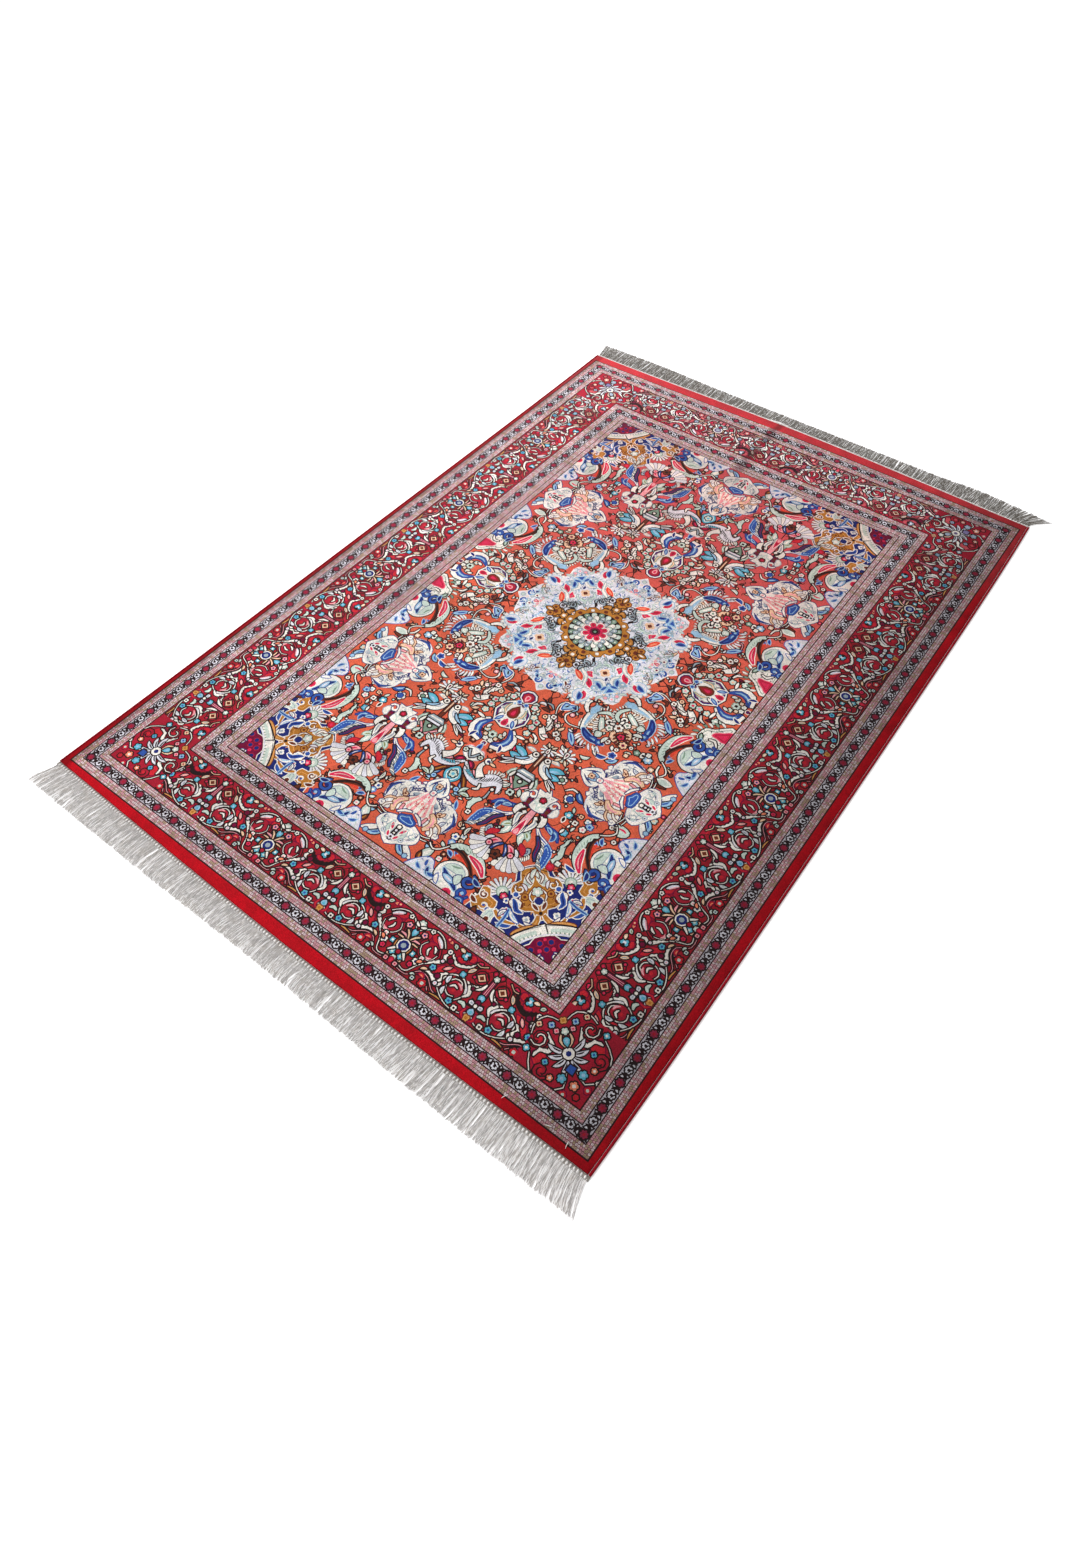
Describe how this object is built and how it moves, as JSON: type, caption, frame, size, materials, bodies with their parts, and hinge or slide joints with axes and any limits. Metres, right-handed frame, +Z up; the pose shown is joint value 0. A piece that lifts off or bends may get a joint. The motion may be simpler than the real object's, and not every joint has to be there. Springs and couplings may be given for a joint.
{
  "type": "persian rug",
  "caption": "Rectangular hand-knotted rug lying flat, with a thin pile slab, overcast side cords and a combed fringe at each end.",
  "frame": {"origin": "middle of the knotted carpet's underside, on the floor", "axes": "+X across the rug, +Y along its warps towards the far fringe, +Z up"},
  "size_m": [1.0576, 1.5986, 0.0104],
  "materials": {
    "pile": "clipped silk pile with a soft directional sheen",
    "selvedge": "silk overcasting wound round the outer warps",
    "fringe": "undyed silk warp ends, combed straight"
  },
  "bodies": {
    "root": {"carpet": "pile", "selvedge_left": "selvedge", "selvedge_right": "selvedge", "fringe_near": "fringe", "fringe_far": "fringe"}
  },
  "joints": []
}
